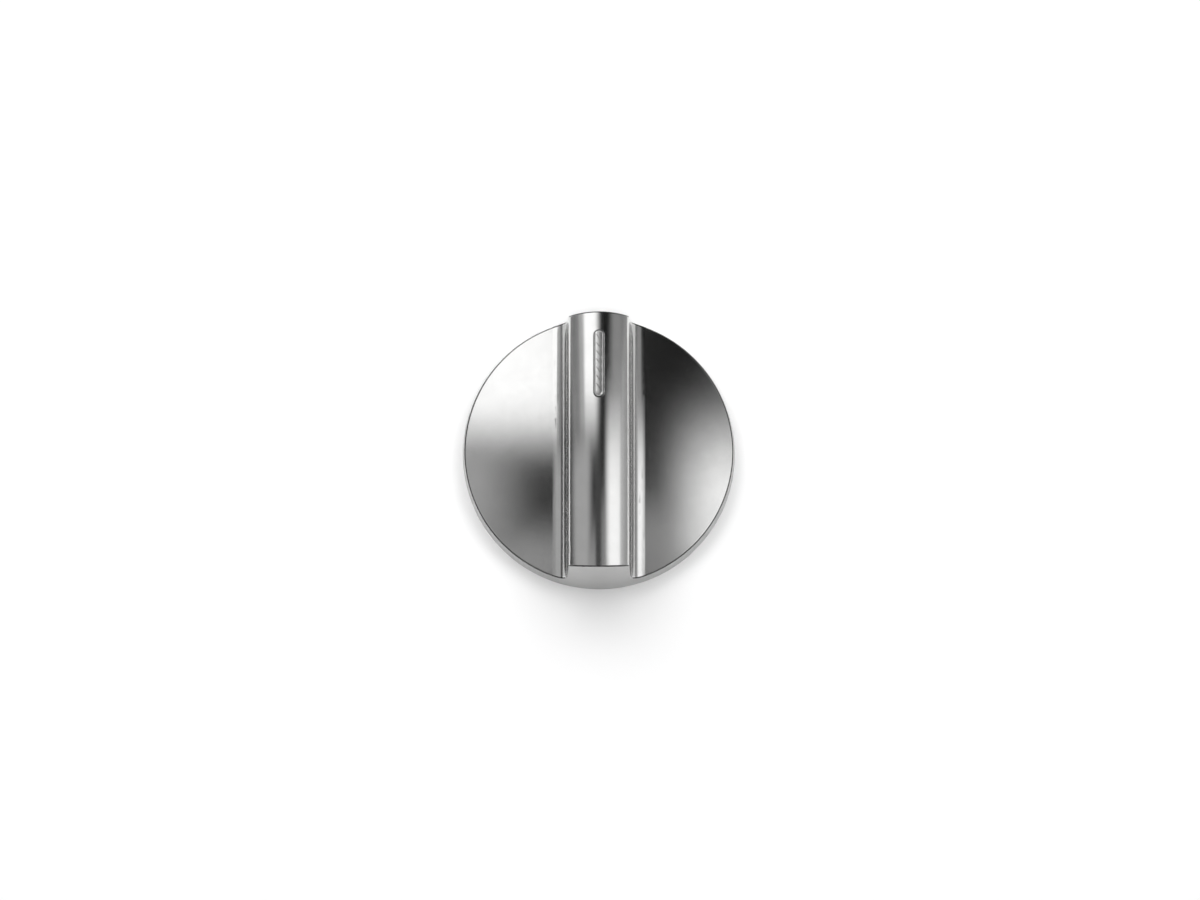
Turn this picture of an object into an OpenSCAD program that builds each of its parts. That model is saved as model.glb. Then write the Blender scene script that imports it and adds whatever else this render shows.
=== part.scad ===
// Appliance control knob: a cast shell with a grip bar, a pressed-in pointer, and a
// moulded shaft insert with its spring, held by two screws.
// The origin is the centre of the skirt's lower edge, +Z is up out of the panel and
// the pointer is at the +Y end of the bar.

/* [Skirt and wings] */
// Diameter of the skirt's lower edge
knob_d = 56; // [52:1:62]
// Height of the wings at their rim
rim_h = 4.2; // [3.8:0.1:5]
// Rise of the domed wings from the rim to the middle
dome_rise = 3.8; // [3.3:0.1:4.3]
// Lean of the outer wall, in degrees
wall_draft = 5.2; // [4:0.1:6]
// Radius that rounds the rim
rim_round = 0.5; // [0.3:0.1:0.8]
// Thickness of the cast wall
shell_wall = 2; // [1.6:0.1:2.2]

/* [Grip bar] */
// Width of the bar where its sides would reach the wings
bar_w = 13.1; // [12.8:0.1:14.5]
// Height of the bar's crest above the wings
bar_rise = 14; // [13.3:0.1:15.8]
// Lean of the bar's sides, in degrees
bar_draft = 2.3; // [1:0.1:3]
// Radius of the arch across the bar's top
arch_r = 8.8; // [8:0.1:11]
// Radius of the bar's shoulders
shoulder_r = 1; // [0.6:0.1:1.4]
// Radius of the hollow blend against the bar's sides
foot_r = 3; // [2.4:0.1:3.4]
// Radius of the blend where it runs out into the wings
foot_out_r = 5; // [4:0.5:6]
// Lean of the surface where the two radii meet, in degrees
foot_turn = 20; // [16:1:24]
// Radius that rounds the top edge of the bar's two ends
end_round = 0.4; // [0.2:0.05:0.5]

/* [Pointer] */
// Width of the pointer
pointer_w = 1.9; // [1.7:0.1:2.4]
// Length of the pointer
pointer_len = 14; // [12:0.5:16]
// Distance from the bar's end to the pointer's tip
pointer_inset = 4.1; // [3:0.1:6]
// Height of the pointer above the bar
pointer_rise = 0.35; // [0.2:0.05:0.5]
// Depth of the pointer's pocket in the bar
pointer_depth = 1.2; // [0.8:0.1:1.4]
// Radius of the pointer's upper edge
pointer_round = 0.5; // [0.3:0.05:0.6]
// Clearance round the pointer in its pocket
pointer_gap = 0.06; // [0.04:0.01:0.1]
// Distance between the cuts of the pointer's hatch
hatch_pitch = 1.7; // [1.4:0.1:2.2]
// Lean of the cuts from the pointer's length, in degrees
hatch_angle = 30; // [20:1:40]
// Width of a cut
hatch_w = 0.16; // [0.12:0.01:0.24]
// Length of a cut
hatch_len = 2; // [1.6:0.1:2.2]

/* [Shaft socket] */
// Diameter of the shaft
shaft_d = 6; // [5:0.1:6.4]
// Size of the shaft across its flat
shaft_flat = 4.6; // [4.4:0.1:4.8]
// Clearance on the shaft's radius
shaft_gap = 0.05; // [0.02:0.01:0.1]
// Length of the round lead before the flat begins
lead_len = 4.5; // [3:0.5:5.5]
// Clearance of the lead on the shaft's radius
lead_gap = 0.25; // [0.21:0.01:0.35]
// Length of the socket past the lead
flat_len = 10; // [9:0.5:11]
// Size of the bevel at the socket's mouth
mouth_bevel = 0.5; // [0.2:0.1:0.8]

/* [Shaft insert] */
// Height of the collar's mouth above the panel
mouth_z = 0.9; // [0.4:0.1:1.2]
// Wall of the sleeve
sleeve_wall = 1.6; // [1.4:0.1:1.8]
// Thickness over the end of the socket
sleeve_cap = 1; // [0.6:0.1:1.4]
// Clearance between the sleeve and the casting
sleeve_gap = 0.05; // [0.02:0.01:0.1]
// Width of the two keys that stop the sleeve turning
key_w = 2; // [1.4:0.1:2.6]
// Height of the keys on the sleeve
key_h = 0.9; // [0.6:0.1:1.1]
// Height of the collar below the flange
collar_h = 1.1; // [0.6:0.1:1.4]
// Wall of the collar
collar_wall = 2.2; // [1.6:0.1:2.6]
// Thickness of the flange
flange_t = 2.4; // [2.2:0.1:2.6]
// Diameter of the flange's middle
flange_d = 16; // [14:0.5:17]
// Width of the flange's ears
ear_w = 8.6; // [8:0.1:9]
// Distance from the shaft to each screw
screw_y = 14.5; // [13:0.5:16]
// Thickness of the ribs on the flange
flange_rib_t = 1.2; // [0.8:0.1:1.6]
// Clearance round the flange in the casting's ribs
flange_gap = 0.3; // [0.2:0.05:0.5]

/* [Shaft spring] */
// Thickness of the spring strip
spring_t = 0.35; // [0.25:0.05:0.4]
// Width of the spring strip
spring_w = 3; // [2.4:0.1:3.2]
// Depth of the folded spring
spring_depth = 1.6; // [1.3:0.1:1.7]
// Bow of the spring towards the shaft
spring_bow = 0.35; // [0.2:0.05:0.45]
// Clearance round the spring in its slot
spring_gap = 0.06; // [0.04:0.01:0.1]

/* [Screws] */
// Diameter of the screw shank
screw_d = 2.4; // [2:0.1:2.6]
// Length of the screw shank
screw_len = 8; // [7:0.5:9]
// Diameter of the screw head
screw_head_d = 4.4; // [4:0.1:4.8]
// Height of the screw head
screw_head_h = 1.5; // [1.2:0.1:1.8]
// Depth that the head sits in the flange
head_sink = 1; // [0.8:0.1:1.2]
// Clearance on the shank's radius in the flange
screw_gap = 0.2; // [0.1:0.05:0.3]
// Clearance on the head's radius in its seat
head_gap = 0.35; // [0.2:0.05:0.5]
// Width of the cross slot's arms
cross_w = 0.55; // [0.4:0.05:0.7]
// Length of the cross slot's arms
cross_len = 2.4; // [2:0.1:2.8]
// Depth of the cross slot
cross_depth = 0.9; // [0.7:0.05:1]

/* [Casting inside] */
// Wall of the boss round the sleeve
boss_wall = 2.2; // [1.8:0.1:2.6]
// Wall of the bosses round the screws
screw_boss_wall = 1.9; // [1.6:0.1:2.1]
// Thickness of the stiffening ribs
rib_t = 1.4; // [1:0.1:1.8]
// Height of the ribs' lower edge above the panel
rib_z = 1.4; // [1:0.1:2]
// Angle between the ribs of a wing, in degrees
rib_step = 36; // [30:1:42]
// Clearance over the sleeve and the screw tips
tip_gap = 0.5; // [0.3:0.1:0.8]
// Clearance of the thread in the screw bosses, on the radius
thread_gap = 0.05; // [0.04:0.01:0.08]

/* [Hidden] */
$fn = 96;
dome_fn = 720;         // steps on the dome's large circles
over = 40;             // reach of a cut that only has to clear the knob
lap = 1;               // how far the solids and cuts of one piece run into each other
crossing = 0.004;      // how far a rounding runs past the faces that it joins
end_crossing = 0.02;   // the same on the bar's ends, whose edge isn't quite a circle

// The dome: a sphere whose centre lies below the panel. The bar is swept about the cross axis
// through the same centre, so that its crest and its foot keep one height above the wings.
base_r = knob_d / 2;
rim_r = base_r - rim_h * tan(wall_draft);
dome_r = (rim_r * rim_r + dome_rise * dome_rise) / (2 * dome_rise);
crown_h = rim_h + dome_rise;
axis_z = dome_r - crown_h;
crest_r = dome_r + bar_rise;
dome_c = [0, -axis_z];
sweep_half = asin((base_r + lap) / axis_z);    // the sweeps' half angle, to pass the skirt's edge
ring_spare = 12;       // angle that an end's rounding runs on past the bar's shoulder

// The outer wall as a line in the plane of radius and height: its unit normal and its distance
wall_n = [cos(wall_draft), sin(wall_draft)];
wall_d = base_r * cos(wall_draft);
rim_ball = rim_round - crossing;
rim_c = seat_point(wall_n, wall_d - rim_ball, dome_c, dome_r - rim_ball, 1);

// The swept section, as height above the wings and width across the bar. The bar's side is a line
// in that plane, and the wings are a circle with its centre far below.
side_n = [sin(bar_draft), cos(bar_draft)];
side_d = bar_w / 2 * cos(bar_draft);
swell_c = [-dome_r, 0];
arch_c = [bar_rise - arch_r, 0];
section_low = -crown_h - rim_h;    // its lower end, well below the panel
foot_up = [cos(foot_turn), sin(foot_turn)];
foot_step = (foot_out_r - foot_r + crossing) * foot_up;
foot_c = seat_point(side_n, side_d + foot_r - crossing, swell_c - foot_step,
    dome_r + foot_out_r - crossing, -1);
foot_out_c = foot_c + foot_step;
foot_edge = foot_out_c - foot_out_r * unit(foot_out_c - swell_c);
shoulder_ball = shoulder_r - crossing;
shoulder_c = seat_point(side_n, side_d - shoulder_ball, arch_c, arch_r - shoulder_ball, -1);
shoulder_x = shoulder_c[1] * arch_r / (arch_r - shoulder_ball);

// The bar's end: its edge on the centre line, and the ring that rounds it. The ring's centre line
// runs through the ball's places on the centre line and at the shoulder.
end_edge = seat_point(wall_n, wall_d, dome_c, crest_r, 1);
end_n = unit(end_edge - dome_c);
end_ball = end_round - end_crossing;
ball_mid = ball_place(0);
ball_step = ball_mid - ball_place(shoulder_x);
ring_lean = atan2(ball_step[0], ball_step[1]);
ring_r = (pow(shoulder_x, 2) + ball_step * ball_step) / (2 * norm(ball_step));

// Heights, from the panel up
flange_z = mouth_z + collar_h;
seat_z = flange_z + flange_t;
flat_z = mouth_z + lead_len;
socket_top = flat_z + flat_len;
sleeve_top = socket_top + sleeve_cap;
head_z = flange_z + head_sink;

// Radii and places across the socket
bore_r = shaft_d / 2 + shaft_gap;
lead_r = shaft_d / 2 + lead_gap;
flat_y = shaft_flat - shaft_d / 2 + shaft_gap;
sleeve_r = bore_r + sleeve_wall;
collar_r = lead_r + collar_wall;
key_reach = sleeve_r + key_h;
spring_back = flat_y + spring_depth;
slot_w = spring_w + 2 * spring_gap;

// The pointer's straight stretch, as angles of the sweep
pointer_tip = end_edge[0] - pointer_inset;
pointer_out = asin((pointer_tip - pointer_w / 2) / crest_r);
pointer_in = asin((pointer_tip - pointer_len + pointer_w / 2) / crest_r);
hatch_n = floor((pointer_out - pointer_in) / 180 * PI * crest_r / hatch_pitch);

function unit(v) = v / norm(v);

// The point on the line (normal n, distance d) that lies r from the point c.
// side picks which of the two points it is.
function seat_point(n, d, c, r, side) =
    let (u = side * [-n[1], n[0]], q = d * n - c, b = q * u)
    d * n + (-b + sqrt(b * b - q * q + r * r)) * u;

// Where the rounding ball touches the outer wall and the bar's arch, at a distance x across the
// bar, as distance along the bar and height
function ball_place(x) =
    let (
        ball_arch = arch_r - end_ball,
        fall = ball_arch - sqrt(ball_arch * ball_arch - x * x),
        p = seat_point(wall_n, wall_d - end_ball, dome_c, crest_r - end_ball - fall, 1)
    )
    [sqrt(p[0] * p[0] - x * x), p[1]];

// The waste outside a ball of radius r at c, in the corner between two faces with normals a and b
module corner_waste(c, r, a, b) {
    reach = 6 * r;
    translate(c) difference() {
        polygon([[0, 0], reach * a, reach * (a + b), reach * b]);
        circle(r);
    }
}

// Turns a section, drawn as height above the wings and width, about the cross axis under the dome
module sweep(from = -sweep_half, to = sweep_half) {
    translate([0, 0, -axis_z]) rotate([0, -90, 0]) rotate([0, 0, from])
        rotate_extrude(angle = to - from, $fn = dome_fn) translate([dome_r, 0]) children();
}

// Places a child on the crest line, with its Z along the crest's normal at an angle of the sweep
module on_crest(angle) {
    translate([0, 0, -axis_z]) rotate([-angle, 0, 0]) translate([0, 0, crest_r]) children();
}

// ---- Shell ----

// The bar's section up to its arch, moved in from the outside by inset
module bar_section(inset) {
    low_w = (side_d - inset - section_low * side_n[0]) / side_n[1];
    top_w = (side_d - inset - bar_rise * side_n[0]) / side_n[1];
    difference() {
        polygon([[section_low, -low_w], [bar_rise, -top_w], [bar_rise, top_w], [section_low, low_w]]);
        difference() {
            translate([arch_c[0], -over / 2]) square(over);
            translate(arch_c) circle(arch_r - inset);
        }
    }
}

// The wings' section, the crown of a large circle, moved in by inset
module wing_section(inset) {
    intersection() {
        translate(swell_c) circle(dome_r - inset, $fn = dome_fn);
        translate([section_low, -base_r - lap]) square([lap - section_low, 2 * (base_r + lap)]);
    }
}

// The bar's foot, hollowed on both sides where its walls run out into the wings. The hollow has
// two radii, a tight one against the wall and a flatter one outside it.
module foot_section() {
    across = over * [-foot_up[1], foot_up[0]];
    difference() {
        translate([section_low, -foot_edge[1]])
            square([foot_c[0] - section_low, 2 * foot_edge[1]]);
        for (s = [0, 1]) mirror([0, s]) {
            translate(foot_c) circle(foot_r);
            intersection() {
                translate(foot_out_c) circle(foot_out_r);
                polygon([foot_out_c, foot_out_c - over * foot_up,
                    foot_out_c - over * foot_up + across, foot_out_c + across]);
            }
        }
    }
}

module outer_section() {
    wing_section(0);
    difference() {
        bar_section(0);
        for (s = [0, 1]) mirror([0, s])
            corner_waste(shoulder_c, shoulder_r, side_n, unit(shoulder_c - arch_c));
    }
    foot_section();
}

// The drafted wall, run up past the crest
module wall_cone(inset, low) {
    low_r = base_r - inset / wall_n[0] - low * tan(wall_draft);
    translate([0, 0, low]) cylinder(h = over, r1 = low_r, r2 = low_r - over * tan(wall_draft));
}

// Takes the edge off the wings' rim, from blend to blend
module rim_cutter() {
    difference() {
        rotate_extrude() corner_waste(rim_c, rim_round, wall_n, unit(rim_c - dome_c));
        translate([0, 0, rim_h]) cube([2 * foot_edge[1], 2 * knob_d, over], center = true);
    }
}

// Takes the edge off the bar's top at one end
module end_cutter() {
    up = [sin(ring_lean), cos(ring_lean)];
    out = [cos(ring_lean), -sin(ring_lean)];
    half = asin(shoulder_x / ring_r) + ring_spare;
    translate([0, ball_mid[0], ball_mid[1]])
        rotate([90 - ring_lean, 0, 0]) translate([0, -ring_r, 0]) rotate([0, 0, 90 - half])
            rotate_extrude(angle = 2 * half)
                corner_waste([ring_r, 0], end_round, [end_n * up, -(end_n * out)],
                    [wall_n * up, -(wall_n * out)]);
}

module outer_body() {
    difference() {
        intersection() {
            sweep() outer_section();
            wall_cone(0, 0);
        }
        rim_cutter();
        for (s = [0, 1]) mirror([0, s, 0]) end_cutter();
    }
}

// The hollow inside, one wall in from the outside
module hollow() {
    intersection() {
        sweep() {
            wing_section(shell_wall);
            bar_section(shell_wall);
        }
        wall_cone(shell_wall, -lap);
    }
}

// What the casting keeps inside the hollow: bosses and ribs
module cast_inside() {
    sleeve_boss_r = sleeve_r + sleeve_gap + boss_wall;
    screw_boss_r = screw_d / 2 + thread_gap + screw_boss_wall;
    translate([0, 0, seat_z]) {
        cylinder(h = over, r = sleeve_boss_r);
        for (s = [-1, 1]) translate([0, s * screw_y, 0]) cylinder(h = over, r = screw_boss_r);
        translate([-rib_t / 2, -base_r, 0]) cube([rib_t, knob_d, over]);
    }
    difference() {
        for (side = [0, 180], k = [-1:1])
            rotate([0, 0, side + k * rib_step])
                translate([0, -rib_t / 2, rib_z]) cube([base_r, rib_t, over]);
        linear_extrude(seat_z) flange_outline(flange_gap);
    }
}

module knob_shell() {
    color("silver") difference() {
        outer_body();
        difference() {
            hollow();
            cast_inside();
        }
        // The sleeve's bore with its two key ways
        translate([0, 0, seat_z - over]) cylinder(h = over - seat_z + sleeve_top + tip_gap,
            r = sleeve_r + sleeve_gap);
        translate([0, 0, (sleeve_top + tip_gap) / 2])
            cube([key_w + 2 * sleeve_gap, 2 * (key_reach + sleeve_gap), sleeve_top + tip_gap],
                center = true);
        for (s = [-1, 1]) translate([0, s * screw_y, 0])
            cylinder(h = head_z + screw_len + tip_gap, r = screw_d / 2 + thread_gap);
        pointer_body(pointer_gap, pointer_depth + pointer_gap);
    }
}

// ---- Pointer ----

// The pointer's section, as height above the wings and width. grow is the clearance of its pocket.
module pointer_section(grow, depth) {
    half_w = pointer_w / 2 + grow;
    top_r = arch_r + pointer_rise + grow;
    edge_r = pointer_round + grow;
    edge_ball = edge_r - crossing;
    edge_c = seat_point([0, 1], half_w - edge_ball, arch_c, top_r - edge_ball, -1);
    difference() {
        intersection() {
            translate([bar_rise - depth, -half_w]) square([2 * depth, 2 * half_w]);
            translate(arch_c) circle(top_r);
        }
        for (s = [0, 1]) mirror([0, s])
            corner_waste(edge_c, edge_r, [0, 1], unit(edge_c - arch_c));
    }
}

// A straight stretch swept along the crest, with a round end at each end
module pointer_body(grow, depth) {
    sweep(pointer_in, pointer_out) pointer_section(grow, depth);
    for (angle = [pointer_in, pointer_out])
        on_crest(angle) rotate_extrude() intersection() {
            rotate(90) translate([-bar_rise, 0]) pointer_section(grow + crossing, depth + crossing);
            translate([0, -over / 2]) square(over);
        }
}

module pointer_inlay() {
    color("gainsboro") difference() {
        pointer_body(0, pointer_depth);
        for (k = [0:hatch_n - 1])
            on_crest(pointer_in + (k + 0.5) * (pointer_out - pointer_in) / hatch_n)
                translate([0, 0, pointer_rise])
                    rotate([0, 0, hatch_angle]) rotate([0, 45, 0])
                        cube([hatch_w / sqrt(2), hatch_len, hatch_w / sqrt(2)], center = true);
    }
}

// ---- Shaft insert ----

// Outline of the flange: a round middle with two round-ended ears
module flange_outline(grow) {
    circle(flange_d / 2 + grow);
    square([ear_w + 2 * grow, 2 * screw_y], center = true);
    for (s = [-1, 1]) translate([0, s * screw_y]) circle(ear_w / 2 + grow);
}

module shaft_insert() {
    rib_len = screw_y - screw_head_d / 2 - head_gap - collar_r;
    color([0.13, 0.13, 0.14]) difference() {
        union() {
            translate([0, 0, flange_z]) linear_extrude(flange_t) flange_outline(0);
            translate([0, 0, mouth_z]) cylinder(h = collar_h + lap, r = collar_r);
            translate([0, 0, seat_z - lap]) cylinder(h = sleeve_top - seat_z + lap, r = sleeve_r);
            translate([-key_w / 2, -key_reach, seat_z - lap])
                cube([key_w, 2 * key_reach, sleeve_top - seat_z]);
            for (s = [-1, 1]) translate([0, s * (collar_r + rib_len / 2), flange_z])
                cube([flange_rib_t, rib_len + lap, collar_h], center = true);
        }
        socket();
        for (s = [-1, 1]) translate([0, s * screw_y, 0]) {
            cylinder(h = over, r = screw_d / 2 + screw_gap);
            cylinder(h = head_z, r = screw_head_d / 2 + head_gap);
        }
    }
}

// The shaft's socket: a round lead, then a D, and the spring's slot along its flat
module socket() {
    translate([0, 0, mouth_z - lap]) {
        cylinder(h = lead_len + lap, r = lead_r);
        difference() {
            cylinder(h = socket_top - mouth_z + lap, r = bore_r);
            translate([-over / 2, flat_y, lead_len + lap]) cube([over, over, over]);
        }
        translate([-slot_w / 2, 0, 0])
            cube([slot_w, spring_back + spring_gap, socket_top - mouth_z + lap]);
    }
    translate([0, 0, mouth_z - crossing])
        cylinder(h = mouth_bevel + crossing, r1 = lead_r + mouth_bevel + crossing, r2 = lead_r);
}

// ---- Shaft spring ----

// A strip folded into a hairpin: a straight back leg, and a front leg bowed towards the shaft
module shaft_spring() {
    fold_r = spring_depth / 2;
    fold_z = flat_z + 2 * spring_gap + fold_r;
    leg_top = socket_top - 2 * spring_gap;
    bow_len = leg_top - fold_z - spring_t;
    bow_r = (bow_len * bow_len / 4 + spring_bow * spring_bow) / (2 * spring_bow);
    bow_c = [flat_y - spring_bow + bow_r, fold_z + bow_len / 2];
    color("lightsteelblue")
        translate([-spring_w / 2, 0, 0]) rotate([90, 0, 90]) linear_extrude(spring_w) {
            translate([spring_back - spring_t, fold_z]) square([spring_t, leg_top - fold_z]);
            difference() {
                translate([flat_y + fold_r, fold_z]) circle(fold_r);
                translate([flat_y + fold_r, fold_z]) circle(fold_r - spring_t);
                translate([flat_y - lap, fold_z]) square([spring_depth + 2 * lap, spring_depth]);
            }
            intersection() {
                difference() {
                    translate(bow_c) circle(bow_r, $fn = dome_fn);
                    translate(bow_c) circle(bow_r - spring_t, $fn = dome_fn);
                }
                translate([flat_y - spring_bow - lap, fold_z]) square([spring_depth, bow_len]);
            }
        }
}

// ---- Screws ----

// Pan-head self-tapping screw, head down, with its bearing face at z = 0. Its thread is left plain.
module screw() {
    head_r = screw_head_d / 2;
    edge_r = screw_head_h / 2;
    difference() {
        union() {
            cylinder(h = screw_len - screw_d / 2, r = screw_d / 2);
            translate([0, 0, screw_len - screw_d / 2])
                cylinder(h = screw_d / 2, r1 = screw_d / 2, r2 = screw_d / 8);
            rotate_extrude() {
                translate([0, -screw_head_h]) square([head_r - edge_r, screw_head_h]);
                translate([0, -screw_head_h + edge_r]) square([head_r, screw_head_h - edge_r]);
                intersection() {
                    translate([head_r - edge_r, -screw_head_h + edge_r]) circle(edge_r);
                    translate([0, -screw_head_h]) square([head_r, edge_r]);
                }
            }
        }
        for (turn = [0, 90]) rotate([0, 0, turn])
            translate([-cross_len / 2, -cross_w / 2, -screw_head_h - lap])
                cube([cross_len, cross_w, cross_depth + lap]);
    }
}

// The two screws, each stopped at its own turn
module insert_screws() {
    color("darkgray") for (s = [-1, 1]) translate([0, s * screw_y, head_z])
        rotate([0, 0, 20 + 25 * s]) screw();
}

knob_shell();
pointer_inlay();
shaft_insert();
shaft_spring();
insert_screws();
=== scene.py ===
import math
import bpy
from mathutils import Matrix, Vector

# Appliance control knob: a cast shell with a raised pointer, and in its back a nylon insert, a
# spring and two screws. Metres throughout, on a white table.

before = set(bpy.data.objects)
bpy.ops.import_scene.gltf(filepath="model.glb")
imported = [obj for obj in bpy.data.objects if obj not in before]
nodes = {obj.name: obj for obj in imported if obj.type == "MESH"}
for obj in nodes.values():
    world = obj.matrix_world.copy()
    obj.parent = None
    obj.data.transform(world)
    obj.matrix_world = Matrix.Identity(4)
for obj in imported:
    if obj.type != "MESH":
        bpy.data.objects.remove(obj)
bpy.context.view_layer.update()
print("knob: frame loaded,", len(nodes), "parts")


# small helpers for node trees

def startTree(owner):
    owner.use_nodes = True
    tree = owner.node_tree
    tree.nodes.clear()
    return tree


def node(tree, kind, **fields):
    made = tree.nodes.new(kind)
    for field, value in fields.items():
        setattr(made, field, value)
    return made


def plug(tree, value, socket):
    # a socket gets either another node's output or a plain number
    if isinstance(value, bpy.types.NodeSocket):
        tree.links.new(value, socket)
    else:
        socket.default_value = value


def calc(tree, how, first, second=0.0, third=0.0):
    made = node(tree, "ShaderNodeMath", operation=how)
    for value, socket in zip((first, second, third), made.inputs):
        plug(tree, value, socket)
    return made.outputs[0]


def ramp(tree, value, low, high, fromValue=0.0, toValue=1.0):
    # a soft step from low to high
    made = node(tree, "ShaderNodeMapRange", interpolation_type="SMOOTHSTEP")
    for value, socket in zip((value, low, high, fromValue, toValue), made.inputs):
        plug(tree, value, socket)
    return made.outputs[0]


def split(tree, vector):
    # the x, y and z of a vector
    made = node(tree, "ShaderNodeSeparateXYZ")
    tree.links.new(vector, made.inputs[0])
    return made.outputs


def grain(tree, place, scale, detail, roughness, stretch=(1, 1, 1), turn=0.0):
    mapping = node(tree, "ShaderNodeMapping")
    mapping.inputs["Scale"].default_value = stretch
    mapping.inputs["Rotation"].default_value = (0, 0, turn)
    tree.links.new(place, mapping.inputs["Vector"])
    noise = node(tree, "ShaderNodeTexNoise")
    tree.links.new(mapping.outputs[0], noise.inputs["Vector"])
    noise.inputs["Scale"].default_value = scale
    noise.inputs["Detail"].default_value = detail
    noise.inputs["Roughness"].default_value = roughness
    return noise.outputs["Fac"]


def softEdges(tree, piece):
    # a normal that rounds the piece's edges over
    made = node(tree, "ShaderNodeBevel", samples=piece["edgeSamples"])
    made.inputs["Radius"].default_value = piece["edgeRound"]
    return made.outputs[0]


def bump(tree, height, distance, strength=1.0, under=None):
    made = node(tree, "ShaderNodeBump")
    made.inputs["Distance"].default_value = distance
    plug(tree, strength, made.inputs["Strength"])
    tree.links.new(height, made.inputs["Height"])
    if under is not None:
        tree.links.new(under, made.inputs["Normal"])
    return made.outputs[0]


def mixColour(tree, share, first, second):
    # all first at share 0, all second at share 1
    made = node(tree, "ShaderNodeMix", data_type="RGBA")
    plug(tree, share, made.inputs[0])
    for colour, socket in ((first, made.inputs[6]), (second, made.inputs[7])):
        plug(tree, (*colour, 1) if isinstance(colour, tuple) else colour, socket)
    return made.outputs[2]


def shade(colour, share):
    return tuple(share * part for part in colour)


def newMaterial(name):
    made = bpy.data.materials.new(name)
    tree = startTree(made)
    shader = node(tree, "ShaderNodeBsdfPrincipled")
    output = node(tree, "ShaderNodeOutputMaterial")
    tree.links.new(shader.outputs[0], output.inputs["Surface"])
    place = node(tree, "ShaderNodeTexCoord").outputs["Object"]
    return made, tree, shader, place


def dress(name, material):
    for slot in nodes[name].material_slots:
        slot.material = material


# camera: tilted from level, and aimed a little off the origin in its own right and up directions

view = {
    "tilt": 80.0,
    "distance": 1.12,
    "aimRight": 0.000233,
    "aimUp": 0.000968,
    "lens": 163.2,
    "sensor": 36,
    "clipNear": 0.05,
    "clipFar": 20,
}


def addCamera():
    tilt = math.radians(view["tilt"])
    toCamera = Vector((0, -math.cos(tilt), math.sin(tilt)))
    upward = Vector((0, math.sin(tilt), math.cos(tilt)))
    aim = Vector((view["aimRight"], 0, 0)) + upward * view["aimUp"]
    camera = bpy.data.objects.new("camera", bpy.data.cameras.new("camera"))
    bpy.context.scene.collection.objects.link(camera)
    camera.data.lens = view["lens"]
    camera.data.sensor_width = view["sensor"]
    camera.data.clip_start = view["clipNear"]
    camera.data.clip_end = view["clipFar"]
    camera.location = aim + toCamera * view["distance"]
    camera.rotation_euler = toCamera.to_track_quat("Z", "Y").to_euler()
    bpy.context.scene.camera = camera


addCamera()
print("knob: camera set")


# studio

# The patches are the soft boxes and walls that the metal mirrors, as parts of the sky. The four
# numbers of a reach, across the table or up it in the unit direction, are where a patch begins to
# show, is full, begins to fade and is gone. The horizon dims them all towards the table's height,
# to the near share, which turns into the left, far and right ones over their reaches.
studio = {
    "overhead": 0.004,
    "horizon": {
        "rise": (0.16, 0.46),
        "near": 0.85,
        "turns": {
            "left": {"along": "up", "reach": (-0.64, -0.52), "share": 0.06},
            "far": {"along": "up", "reach": (0.10, 0.55), "share": 0.85},
            "right": {"along": "across", "reach": (0.20, 0.60), "share": 0.60},
        },
    },
    "patches": {
        "mainBox": {"across": (-0.70, -0.56, -0.22, 0.12), "up": (0.07, 0.39, 0.80, 0.95),
                    "level": 1.40},
        "rightBox": {"across": (0.21, 0.51, 0.82, 0.92), "up": (-0.44, -0.34, -0.02, 0.50),
                     "level": 1.27},
        "leftWall": {"across": (-1.30, -1.20, -0.55, -0.20), "up": (-0.48, -0.36, 0.10, 0.25),
                     "level": 0.46},
        "boxGap": {"across": (-1.30, -1.20, -0.55, -0.20), "up": (0.10, 0.25, 1.20, 1.30),
                   "level": 0.28},
        "farLeft": {"across": (-1.30, -1.20, -0.92, -0.84), "up": (0.10, 0.25, 1.20, 1.30),
                    "level": 0.50},
        "boxRim": {"across": (-0.82, -0.74, -0.55, -0.45), "up": (0.10, 0.25, 1.20, 1.30),
                   "level": 0.48},
        "frontLeft": {"across": (-0.60, -0.40, -0.20, -0.08), "up": (-0.48, -0.38, -0.28, -0.05),
                      "level": 0.38},
        "frontRight": {"across": (0.02, 0.18, 0.60, 0.80), "up": (-0.44, -0.36, -0.16, 0.06),
                       "level": 0.28},
        "rightWall": {"across": (0.80, 0.90, 1.20, 1.30), "up": (-0.60, -0.40, 1.20, 1.30),
                      "level": 0.58},
        "farRight": {"across": (0.35, 0.62, 1.20, 1.30), "up": (0.20, 0.35, 1.20, 1.30),
                     "level": 0.30},
        "nearWall": {"across": (-1.30, -1.20, 1.20, 1.30), "up": (-1.30, -1.20, -0.64, -0.52),
                     "level": 0.55},
        "farWall": {"across": (-1.30, -1.20, 1.20, 1.30), "up": (0.84, 0.94, 1.20, 1.30),
                    "level": 0.55},
        "ceiling": {"across": (-0.30, -0.10, 0.02, 0.22), "up": (-0.50, -0.40, 0.00, 0.30),
                    "level": 0.06},
    },
    "skyOnTable": 0.1,
    "tableSize": 6,
    "tableWhite": (0.95, 0.95, 0.95),
    "lampReach": 2.5,
    "lamps": {
        "nearLamp": {"from": (0, -0.20), "size": (0.60, 0.60), "watts": 22.9},
        "farLamp": {"from": (0, 0.66), "size": (3.60, 1.20), "watts": 30.0},
        "leftLamp": {"from": (-0.45, 0.28), "size": (1.30, 1.30), "watts": 13.3},
        "rightLamp": {"from": (0.45, 0.28), "size": (1.30, 1.30), "watts": 13.3},
    },
}


def band(tree, value, reach, level=1.0):
    # rises over a reach's first two numbers and falls to nothing over its last two
    start, full, fade, gone = reach
    return calc(tree, "MULTIPLY", ramp(tree, value, start, full),
                ramp(tree, value, fade, gone, level, 0.0))


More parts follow.
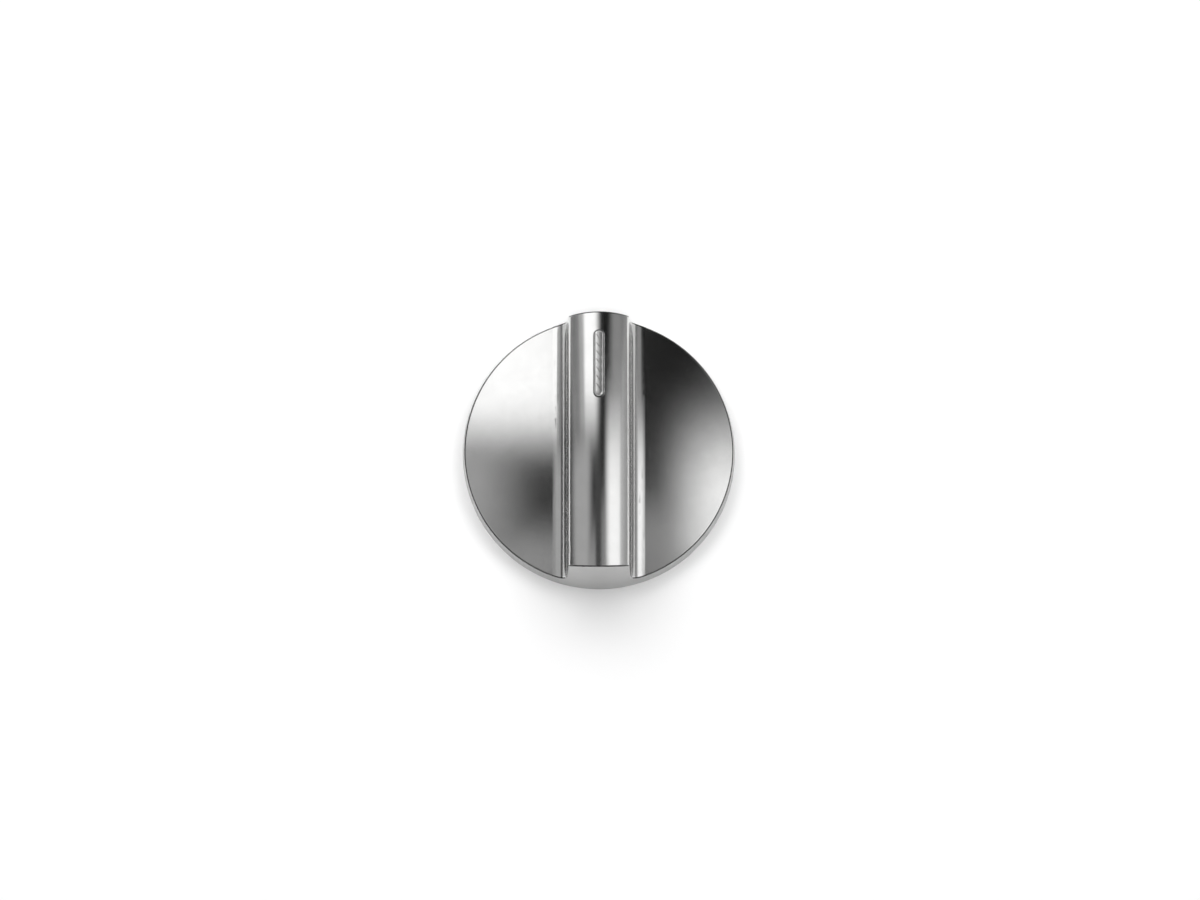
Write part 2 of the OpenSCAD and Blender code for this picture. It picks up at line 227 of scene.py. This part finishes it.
def background(tree, strength=1.0):
    made = node(tree, "ShaderNodeBackground")
    made.inputs["Color"].default_value = (1, 1, 1, 1)
    plug(tree, strength, made.inputs["Strength"])
    return made.outputs[0]


def mirroredLevel(tree, direction):
    # the brightest patch in this direction, dimmed near the table's height
    across, up, height = direction
    level = studio["overhead"]
    for patch in studio["patches"].values():
        share = calc(tree, "MULTIPLY", band(tree, across, patch["across"]),
                     band(tree, up, patch["up"]))
        level = calc(tree, "MAXIMUM", calc(tree, "MULTIPLY", share, patch["level"]), level)
    low = studio["horizon"]["near"]
    for turn in studio["horizon"]["turns"].values():
        value = up if turn["along"] == "up" else across
        low = ramp(tree, value, *turn["reach"], low, turn["share"])
    return calc(tree, "MULTIPLY", level, ramp(tree, height, *studio["horizon"]["rise"], low, 1.0))


def addSky():
    # the metal mirrors the patches, the table gets a little of their light, and what the camera
    # sees past the table is plain white
    world = bpy.data.worlds.new("studio")
    bpy.context.scene.world = world
    tree = startTree(world)
    level = mirroredLevel(tree, split(tree, node(tree, "ShaderNodeTexCoord").outputs["Generated"]))
    path = node(tree, "ShaderNodeLightPath")
    share = calc(tree, "MULTIPLY_ADD", path.outputs["Is Diffuse Ray"],
                 studio["skyOnTable"] - 1, 1.0)
    level = calc(tree, "MULTIPLY", level, share)
    chosen = node(tree, "ShaderNodeMixShader")
    tree.links.new(path.outputs["Is Camera Ray"], chosen.inputs[0])
    tree.links.new(background(tree, level), chosen.inputs[1])
    tree.links.new(background(tree), chosen.inputs[2])
    output = node(tree, "ShaderNodeOutputWorld")
    tree.links.new(chosen.outputs[0], output.inputs["Surface"])


def addTable():
    bpy.ops.object.select_all(action="DESELECT")
    bpy.ops.mesh.primitive_plane_add(size=studio["tableSize"], location=(0, 0, 0))
    table = bpy.context.object
    table.name = "table"
    material = bpy.data.materials.new("whiteTable")
    tree = startTree(material)
    paper = node(tree, "ShaderNodeBsdfDiffuse")
    paper.inputs["Color"].default_value = (*studio["tableWhite"], 1)
    output = node(tree, "ShaderNodeOutputMaterial")
    tree.links.new(paper.outputs[0], output.inputs["Surface"])
    table.data.materials.append(material)


def addLamps():
    # for the short soft shadow on the table, and hidden from the metal, which mirrors the patches
    for name, plan in studio["lamps"].items():
        across, up = plan["from"]
        direction = Vector((across, up, math.sqrt(1 - across ** 2 - up ** 2)))
        lamp = bpy.data.objects.new(name, bpy.data.lights.new(name, "AREA"))
        bpy.context.scene.collection.objects.link(lamp)
        lamp.data.shape = "ELLIPSE"
        lamp.data.size, lamp.data.size_y = plan["size"]
        lamp.data.energy = plan["watts"]
        lamp.location = direction * studio["lampReach"]
        lamp.rotation_euler = direction.to_track_quat("Z", "Y").to_euler()
        lamp.visible_glossy = False


addSky()
addTable()
addLamps()
scene = bpy.context.scene
scene.view_settings.view_transform = "Standard"
print("knob: studio lit")


# shell: satin nickel on a zinc casting, with the cast skin left inside

shell = {
    # outside sizes, which tell the plated outside from the hollow's faces
    "base": 0.028,
    "draft": 5.2,
    "crown": 0.008,
    "domeRadius": 0.10221,
    "barTop": 0.014,
    "barHalf": 0.0062,
    "archRadius": 0.0088,
    "skin": (0.0006, 0.001),
    # plate: clouds as the noise's scale, detail and roughness, and a fine grain, whose scale
    # comes from its size
    "nickel": (0.74, 0.74, 0.735),
    "cloud": (260, 3.0, 0.55),
    "cloudSpan": (0.3, 0.7),
    "cloudTint": 0.96,
    "grainSize": 0.00018,
    "grain": (3.0, 0.6),
    "grainSpan": (0.35, 0.65),
    "grainDepth": 0.0000008,
    "rough": (0.14, 0.20),
    "edgeRound": 0.0003,
    "edgeSamples": 6,
    # cast skin
    "castSkin": (0.46, 0.455, 0.44),
    "pits": (900, 4.0, 0.6),
    "pitSpan": (0.35, 0.7),
    "pitTint": 0.75,
    "pitDepth": 0.00006,
    "castRough": 0.5,
    # painted shade, and where it is painted: in the gap round the pointer, on the skirt's wall,
    # along the wings' rim and in the corner at the bar's foot; the wall also has a duller finish
    "paintedShade": (0.05, 0.05, 0.05),
    "pointerNear": 0.00903,
    "pointerFar": 0.02119,
    "pointerHalf": 0.00101,
    "pocketLine": (0.00005, 0.0001),
    "pocketUp": (0.012, 0.016),
    "pocketShadeLevel": 0.75,
    "facesUp": (0.35, 0.6),
    "wallLine": (0.00005, 0.0003),
    "wallShadeLevel": 0.36,
    "wallRough": 0.34,
    "rimLine": (0.00018, 0.0003),
    "rimShadeLevel": 0.95,
    "corner": (0.0061, 0.0068, 0.0073, 0.0080),
    "cornerShadeLevel": 0.34,
    "offWall": (0.0002, 0.0006),
}


def wallDepth(tree, parts):
    # how far in from the skirt's drafted wall
    plan = calc(tree, "SQRT", calc(tree, "ADD", calc(tree, "POWER", parts[0], 2.0),
                                   calc(tree, "POWER", parts[1], 2.0)))
    lean = calc(tree, "MULTIPLY", parts[2], math.tan(math.radians(shell["draft"])))
    return calc(tree, "SUBTRACT", calc(tree, "SUBTRACT", shell["base"], lean), plan)


def hollowShare(tree, place, parts, inWall):
    # 1 on the faces that lie deeper than the plated outside, 0 on the outside
    offset = node(tree, "ShaderNodeVectorMath", operation="SUBTRACT")
    tree.links.new(place, offset.inputs[0])
    offset.inputs[1].default_value = (0, 0, shell["crown"] - shell["domeRadius"])
    reach = node(tree, "ShaderNodeVectorMath", operation="LENGTH")
    tree.links.new(offset.outputs[0], reach.inputs[0])
    above = calc(tree, "SUBTRACT", reach.outputs["Value"], shell["domeRadius"])
    underWing = calc(tree, "MULTIPLY", above, -1.0)
    side = calc(tree, "ABSOLUTE", parts[0])
    arch = calc(tree, "DIVIDE", calc(tree, "POWER", side, 2.0), 2 * shell["archRadius"])
    underArch = calc(tree, "SUBTRACT", calc(tree, "SUBTRACT", shell["barTop"], arch), above)
    inBar = calc(tree, "MINIMUM", underArch, calc(tree, "SUBTRACT", shell["barHalf"], side))
    depth = calc(tree, "MINIMUM", calc(tree, "MAXIMUM", underWing, inBar), inWall)
    return ramp(tree, depth, *shell["skin"])


def pocketPaintedShade(tree, parts):
    # painted shade in the gap round the pointer: a thin dark line round a pill, on the bar's top
    # only
    middle = (shell["pointerNear"] + shell["pointerFar"]) / 2
    reach = (shell["pointerFar"] - shell["pointerNear"]) / 2
    along = calc(tree, "ABSOLUTE", calc(tree, "SUBTRACT", parts[1], middle))
    along = calc(tree, "MAXIMUM", calc(tree, "SUBTRACT", along, reach), 0.0)
    away = calc(tree, "SQRT", calc(tree, "ADD", calc(tree, "POWER", along, 2.0),
                                   calc(tree, "POWER", parts[0], 2.0)))
    line = calc(tree, "SUBTRACT", away, shell["pointerHalf"])
    dark = ramp(tree, line, *shell["pocketLine"], shell["pocketShadeLevel"], 0.0)
    return calc(tree, "MULTIPLY", dark, ramp(tree, parts[2], *shell["pocketUp"]))


def wallShare(tree, inWall, facesUp):
    # 1 on the skirt's wall and the bar's ends, 0 on the top
    return calc(tree, "MULTIPLY", calc(tree, "SUBTRACT", 1.0, facesUp),
                ramp(tree, inWall, *shell["wallLine"], 1.0, 0.0))


def wallAndRimPaintedShade(tree, inWall, facesUp, wall):
    # painted shade: the skirt's wall and the bar's ends are darkened, and a dark line is painted
    # along the wings' rim
    rim = calc(tree, "MULTIPLY", facesUp,
               ramp(tree, inWall, *shell["rimLine"], shell["rimShadeLevel"], 0.0))
    return calc(tree, "MULTIPLY_ADD", wall, shell["wallShadeLevel"], rim)


def cornerPaintedShade(tree, parts, inWall):
    # painted shade in the corner along the bar's foot
    side = calc(tree, "ABSOLUTE", parts[0])
    corner = band(tree, side, shell["corner"], shell["cornerShadeLevel"])
    return calc(tree, "MULTIPLY", corner, ramp(tree, inWall, *shell["offWall"]))


def satinNickel():
    material, tree, shader, place = newMaterial("satinNickel")
    parts = split(tree, place)
    normal = split(tree, node(tree, "ShaderNodeTexCoord").outputs["Normal"])
    facesUp = ramp(tree, normal[2], *shell["facesUp"])
    inWall = wallDepth(tree, parts)
    inside = hollowShare(tree, place, parts, inWall)
    wall = wallShare(tree, inWall, facesUp)
    fine = grain(tree, place, 1 / shell["grainSize"], *shell["grain"])
    cloud = grain(tree, place, *shell["cloud"])
    pits = grain(tree, place, *shell["pits"])
    # colour
    plate = mixColour(tree, ramp(tree, cloud, *shell["cloudSpan"]),
                      shade(shell["nickel"], shell["cloudTint"]), shell["nickel"])
    # painted shade over the plate: round the pointer, on the wall and rim, and in the bar's foot
    # corner
    for share in (pocketPaintedShade(tree, parts), wallAndRimPaintedShade(tree, inWall, facesUp, wall),
                  cornerPaintedShade(tree, parts, inWall)):
        plate = mixColour(tree, share, plate, shell["paintedShade"])
    cast = mixColour(tree, ramp(tree, pits, *shell["pitSpan"]),
                     shade(shell["castSkin"], shell["pitTint"]), shell["castSkin"])
    tree.links.new(mixColour(tree, inside, plate, cast), shader.inputs["Base Color"])
    shader.inputs["Metallic"].default_value = 1
    # roughness
    rough = ramp(tree, fine, *shell["grainSpan"], *shell["rough"])
    rough = calc(tree, "MAXIMUM", rough, calc(tree, "MULTIPLY", wall, shell["wallRough"]))
    blend = node(tree, "ShaderNodeMix", data_type="FLOAT")
    tree.links.new(inside, blend.inputs[0])
    tree.links.new(rough, blend.inputs[2])
    blend.inputs[3].default_value = shell["castRough"]
    tree.links.new(blend.outputs[0], shader.inputs["Roughness"])
    # relief
    relief = bump(tree, fine, shell["grainDepth"], 1.0, softEdges(tree, shell))
    relief = bump(tree, pits, shell["pitDepth"], inside, relief)
    tree.links.new(relief, shader.inputs["Normal"])
    return material


dress("knob_shell", satinNickel())
print("knob: shell plated")


# pointer: the same plate with a grain of the same size, a little brighter, and painted shade in
# its grooves

pointer = {
    "nickel": (0.80, 0.80, 0.795),
    "grooveShade": (0.08, 0.08, 0.08),
    "grooveReach": 0.0004,
    "grooveSamples": 8,
    "grooveSpan": (0.4, 0.95),
    "grooveShadeLevel": 0.35,
    "grain": (2.0, 0.5),
    "grainSpan": (0.3, 0.7),
    "grainDepth": 0.0000015,
    "rough": (0.17, 0.25),
}


def pointerNickel():
    material, tree, shader, place = newMaterial("pointerNickel")
    fine = grain(tree, place, 1 / shell["grainSize"], *pointer["grain"])
    # painted shade: the nickel darkens where the grooves are occluded
    hollow = node(tree, "ShaderNodeAmbientOcclusion", samples=pointer["grooveSamples"])
    hollow.inputs["Distance"].default_value = pointer["grooveReach"]
    bright = ramp(tree, hollow.outputs["AO"], *pointer["grooveSpan"], pointer["grooveShadeLevel"], 1.0)
    tree.links.new(mixColour(tree, bright, pointer["grooveShade"], pointer["nickel"]),
                   shader.inputs["Base Color"])
    shader.inputs["Metallic"].default_value = 1
    tree.links.new(ramp(tree, fine, *pointer["grainSpan"], *pointer["rough"]),
                   shader.inputs["Roughness"])
    tree.links.new(bump(tree, fine, pointer["grainDepth"]), shader.inputs["Normal"])
    return material


dress("pointer_inlay", pointerNickel())
print("knob: pointer plated")


# shaft insert: black glass-filled nylon, with fibres that lie along the flow

insert = {
    "nylon": (0.030, 0.030, 0.033),
    "fibre": (0.055, 0.054, 0.054),
    "fibres": (1400, 3.0, 0.6),
    "fibreStretch": (1, 0.18, 0.4),
    "fibreTurn": 0.4,
    "fibreSpan": (0.5, 0.75),
    "fibreDepth": 0.00003,
    "fibreStrength": 0.6,
    "pits": (5200, 2.0, 0.5),
    "pitDepth": 0.000012,
    "roughSpan": (0.35, 0.7),
    "rough": (0.48, 0.62),
    "edgeRound": 0.00015,
    "edgeSamples": 4,
}


def filledNylon():
    material, tree, shader, place = newMaterial("filledNylon")
    fibre = grain(tree, place, *insert["fibres"], insert["fibreStretch"], insert["fibreTurn"])
    pits = grain(tree, place, *insert["pits"])
    tree.links.new(mixColour(tree, ramp(tree, fibre, *insert["fibreSpan"]), insert["nylon"],
                             insert["fibre"]), shader.inputs["Base Color"])
    tree.links.new(ramp(tree, fibre, *insert["roughSpan"], *insert["rough"]),
                   shader.inputs["Roughness"])
    relief = bump(tree, pits, insert["pitDepth"], 1.0, softEdges(tree, insert))
    relief = bump(tree, fibre, insert["fibreDepth"], insert["fibreStrength"], relief)
    tree.links.new(relief, shader.inputs["Normal"])
    return material


dress("shaft_insert", filledNylon())
print("knob: insert moulded")


# shaft spring: strip steel with its rolling lines

strip = {
    "steel": (0.55, 0.56, 0.58),
    "lines": (9000, 2.0, 0.5),
    "lineStretch": (1, 1, 0.03),
    "lineSpan": (0.3, 0.7),
    "lineTint": 0.82,
    "lineDepth": 0.000004,
    "rough": (0.22, 0.37),
}


def rolledSteel():
    material, tree, shader, place = newMaterial("rolledSteel")
    lines = grain(tree, place, *strip["lines"], strip["lineStretch"])
    tree.links.new(mixColour(tree, ramp(tree, lines, *strip["lineSpan"]),
                             shade(strip["steel"], strip["lineTint"]), strip["steel"]),
                   shader.inputs["Base Color"])
    shader.inputs["Metallic"].default_value = 1
    tree.links.new(ramp(tree, lines, *strip["lineSpan"], *strip["rough"]),
                   shader.inputs["Roughness"])
    tree.links.new(bump(tree, lines, strip["lineDepth"]), shader.inputs["Normal"])
    return material


dress("shaft_spring", rolledSteel())
print("knob: spring rolled")


# screws: clear zinc plate, with a dull bloom

screws = {
    "zinc": (0.60, 0.61, 0.63),
    "bloom": (0.44, 0.45, 0.48),
    "blooms": (1300, 4.0, 0.6),
    "bloomSpan": (0.4, 0.7),
    "grain": (7000, 2.0, 0.5),
    "grainDepth": 0.000006,
    "roughSpan": (0.3, 0.7),
    "rough": (0.26, 0.46),
    "edgeRound": 0.0001,
    "edgeSamples": 4,
}


def zincPlate():
    material, tree, shader, place = newMaterial("zincPlate")
    bloom = grain(tree, place, *screws["blooms"])
    fine = grain(tree, place, *screws["grain"])
    tree.links.new(mixColour(tree, ramp(tree, bloom, *screws["bloomSpan"]), screws["zinc"],
                             screws["bloom"]), shader.inputs["Base Color"])
    shader.inputs["Metallic"].default_value = 1
    tree.links.new(ramp(tree, bloom, *screws["roughSpan"], *screws["rough"]),
                   shader.inputs["Roughness"])
    relief = bump(tree, fine, screws["grainDepth"], 1.0, softEdges(tree, screws))
    tree.links.new(relief, shader.inputs["Normal"])
    return material


dress("insert_screws", zincPlate())
print("knob: screws plated")
